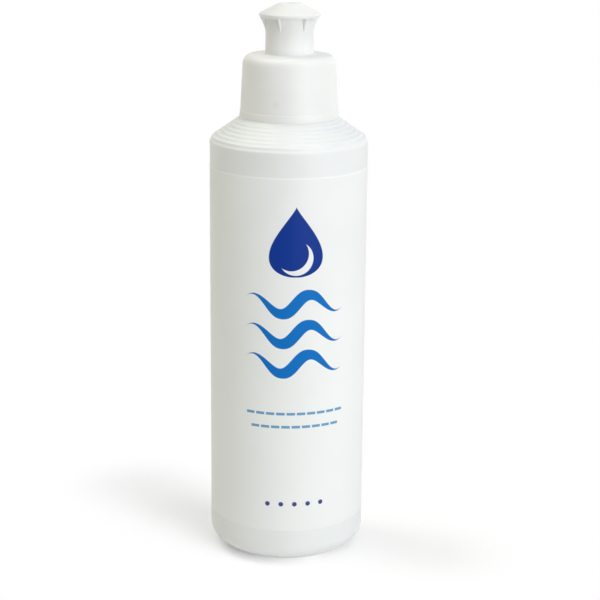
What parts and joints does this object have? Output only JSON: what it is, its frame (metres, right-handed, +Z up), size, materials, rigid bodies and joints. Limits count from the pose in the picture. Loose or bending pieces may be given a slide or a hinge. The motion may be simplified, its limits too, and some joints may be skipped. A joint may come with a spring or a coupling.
{
  "type": "ultrasound gel bottle",
  "caption": "White round squeeze bottle of contact gel with a ringed shoulder, a wrap label and a push-pull screw cap; the spout pulls up to dispense.",
  "frame": {"origin": "middle of the base, on the plane of its standing ring", "axes": "+Z up along the bottle's axis; the front of the label faces -Y"},
  "size_m": [0.052, 0.052, 0.1844],
  "materials": {
    "bottle_white": "white blow-moulded polyethylene, satin",
    "label_film": null,
    "gel": "clear pale blue water-based gel",
    "washer_foam": "white foamed polyethylene",
    "cap_white": "white injection-moulded polypropylene, semi-gloss",
    "spout_white": "white injection-moulded polyethylene, semi-gloss"
  },
  "bodies": {
    "bottle": {"bottle": "bottle_white", "wrap_label": "label_film", "gel_fill": "gel"},
    "seal": {"sealing_washer": "washer_foam"},
    "cap": {"screw_cap": "cap_white"},
    "spout": {"pull_spout": "spout_white"}
  },
  "joints": [
    {"name": "cap_lift", "type": "slide", "parent": "bottle", "child": "seal", "axis": [0, 0, 1], "range_m": [0, 0.00635]},
    {"name": "cap_turn", "type": "hinge", "parent": "seal", "child": "cap", "pos_m": [0, 0, 0.155], "axis": [0, 0, 1], "range_deg": [0, 540]},
    {"name": "spout_pull", "type": "slide", "parent": "cap", "child": "spout", "axis": [0, 0, 1], "range_m": [0, 0.0055]}
  ],
  "couplings": [
    {"joint": "cap_lift", "follows": "cap_turn", "m_per_rad": 0.0006737}
  ]
}
